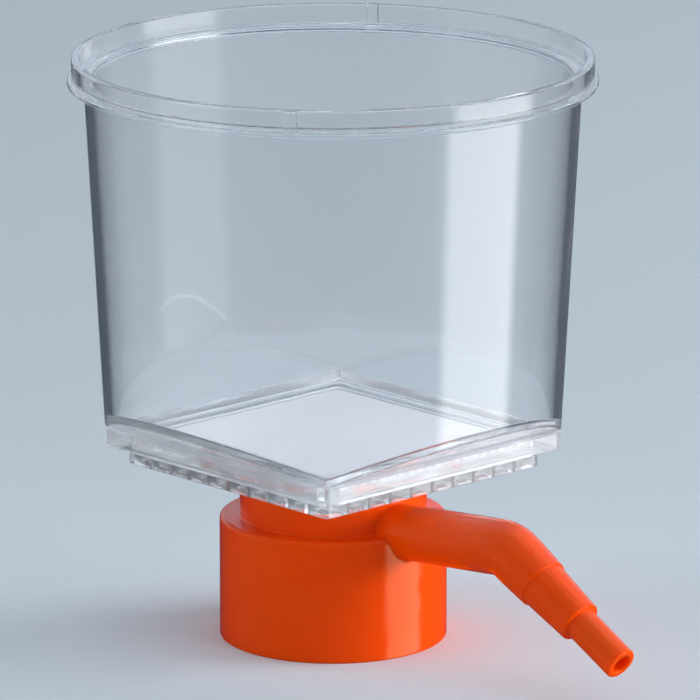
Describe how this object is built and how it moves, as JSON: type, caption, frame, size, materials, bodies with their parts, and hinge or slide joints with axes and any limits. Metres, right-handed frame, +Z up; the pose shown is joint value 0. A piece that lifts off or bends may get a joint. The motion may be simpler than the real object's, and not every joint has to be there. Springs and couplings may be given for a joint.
{
  "type": "vacuum filtration unit",
  "caption": "Clear round funnel with a square filter head on a threaded neck adapter with an angled stepped hose barb.",
  "frame": {"origin": "centre of the skirt's open mouth, on the plane that the unit stands on", "axes": "+Z up along the cup's axis, +X along the hose arm, with the square head's sides parallel to X and Y"},
  "size_m": [0.1599, 0.1244, 0.1404],
  "materials": {
    "clear_plastic": "clear moulded polystyrene, glossy",
    "filter_membrane": "matt white filter sheet",
    "clear_plate": "clear moulded polystyrene, ribbed underneath",
    "orange_plastic": "orange polyethylene, slightly translucent, satin",
    "gasket_foam": "soft closed-cell foam",
    "cotton": "packed cotton fibre"
  },
  "bodies": {
    "root": {"funnel": "clear_plastic", "membrane": "filter_membrane", "support_plate": "clear_plate", "plate_spigot": "clear_plate", "plate_spout": "clear_plate", "neck_adapter": "orange_plastic", "neck_gasket": "gasket_foam", "port_plug": "cotton"}
  },
  "joints": []
}
